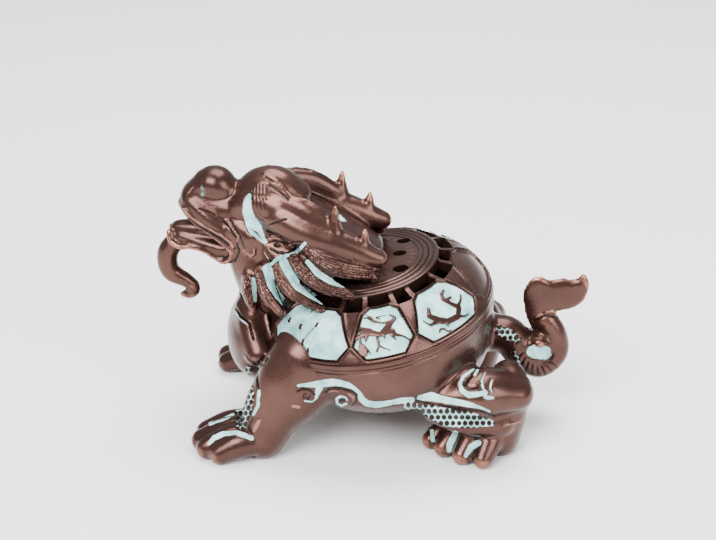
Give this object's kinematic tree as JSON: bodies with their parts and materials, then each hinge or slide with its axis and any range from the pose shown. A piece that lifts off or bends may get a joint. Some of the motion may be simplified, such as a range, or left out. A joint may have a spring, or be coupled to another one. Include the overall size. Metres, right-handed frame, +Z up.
{
  "type": "dragon turtle incense burner",
  "caption": "Cast dragon turtle incense burner: a hollow four-legged bowl under a lift-off pierced shell lid with a horned dragon's head.",
  "frame": {"origin": "on the ground under the middle of the figure's overall box", "axes": "+Z up, +X from the head to the tail, -Y the near side of the picture"},
  "size_m": [0.1816, 0.1156, 0.1106],
  "materials": {
    "aged_bronze_body": "dark reddish brown cast bronze, satin, pale blue-green patina in the recesses",
    "aged_bronze_lid": "dark reddish brown cast bronze, satin, pale blue-green patina in the recesses and panels"
  },
  "bodies": {
    "root": {"burner_body": "aged_bronze_body", "shell_lid": "aged_bronze_lid"}
  },
  "joints": []
}
